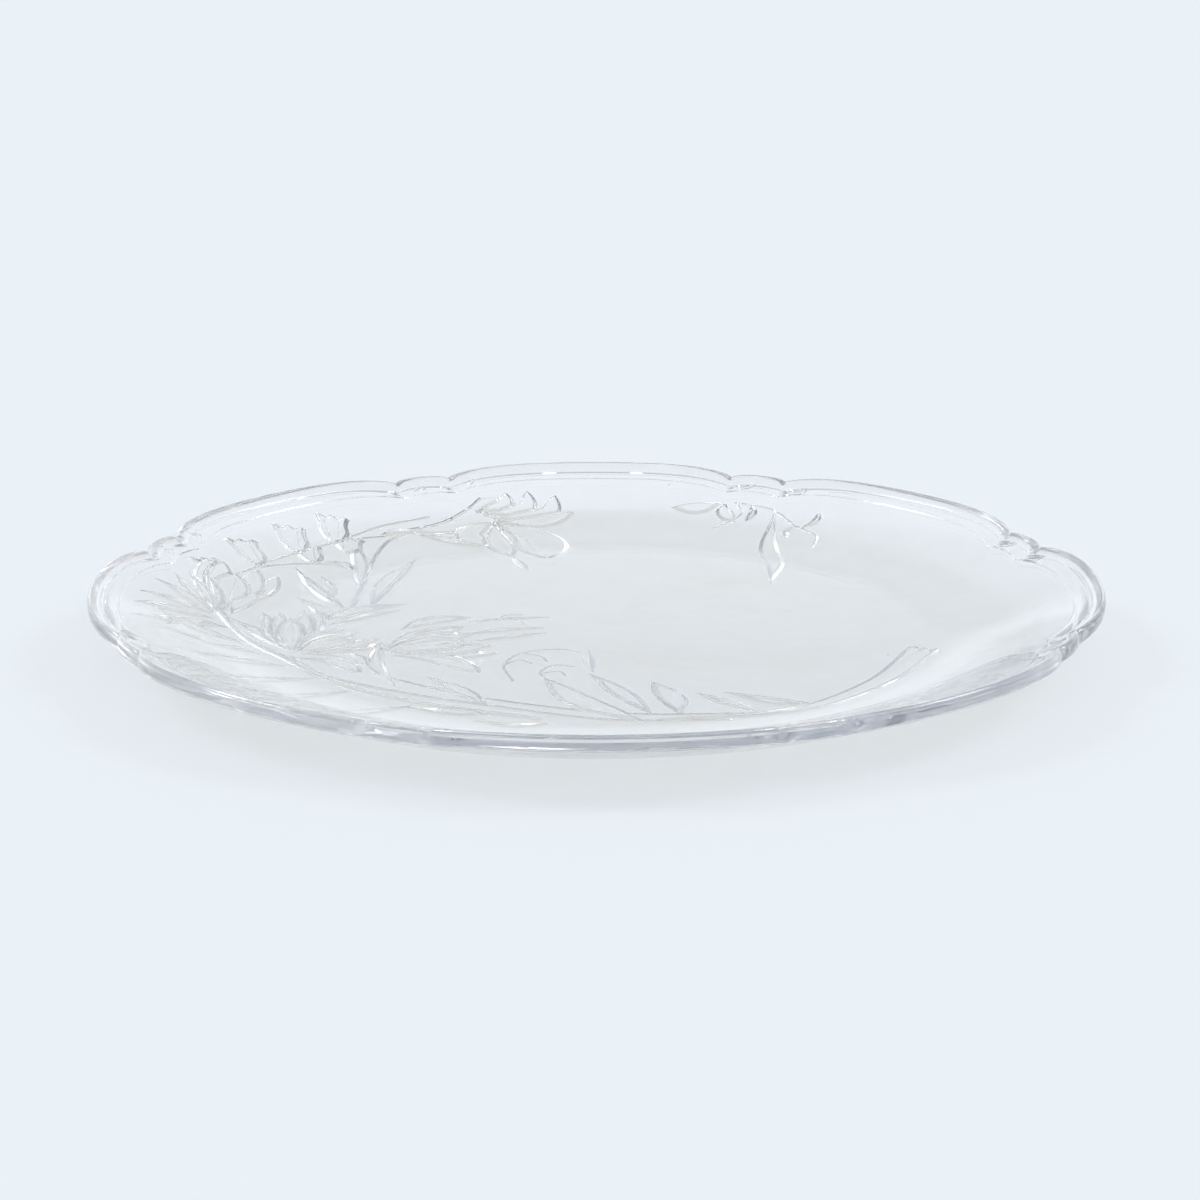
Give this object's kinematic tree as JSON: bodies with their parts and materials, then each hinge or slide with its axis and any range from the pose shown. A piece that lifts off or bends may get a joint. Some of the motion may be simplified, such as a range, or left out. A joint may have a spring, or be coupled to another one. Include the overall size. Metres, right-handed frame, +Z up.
{
  "type": "glass platter",
  "caption": "Round pressed-glass serving platter with a lobed rim, a reeded border with ribbon ties, a wide flare, a flat well and spring flowers pressed into the underside.",
  "frame": {"origin": "middle of the flat base, on the surface that the platter stands on", "axes": "+Z up out of the well, -Y towards the viewer of the picture, +X to the viewer's right"},
  "size_m": [0.34, 0.34, 0.022],
  "materials": {
    "glass": "clear fire-polished pressed glass, lightly marked by use"
  },
  "bodies": {
    "root": {"platter": "glass"}
  },
  "joints": []
}
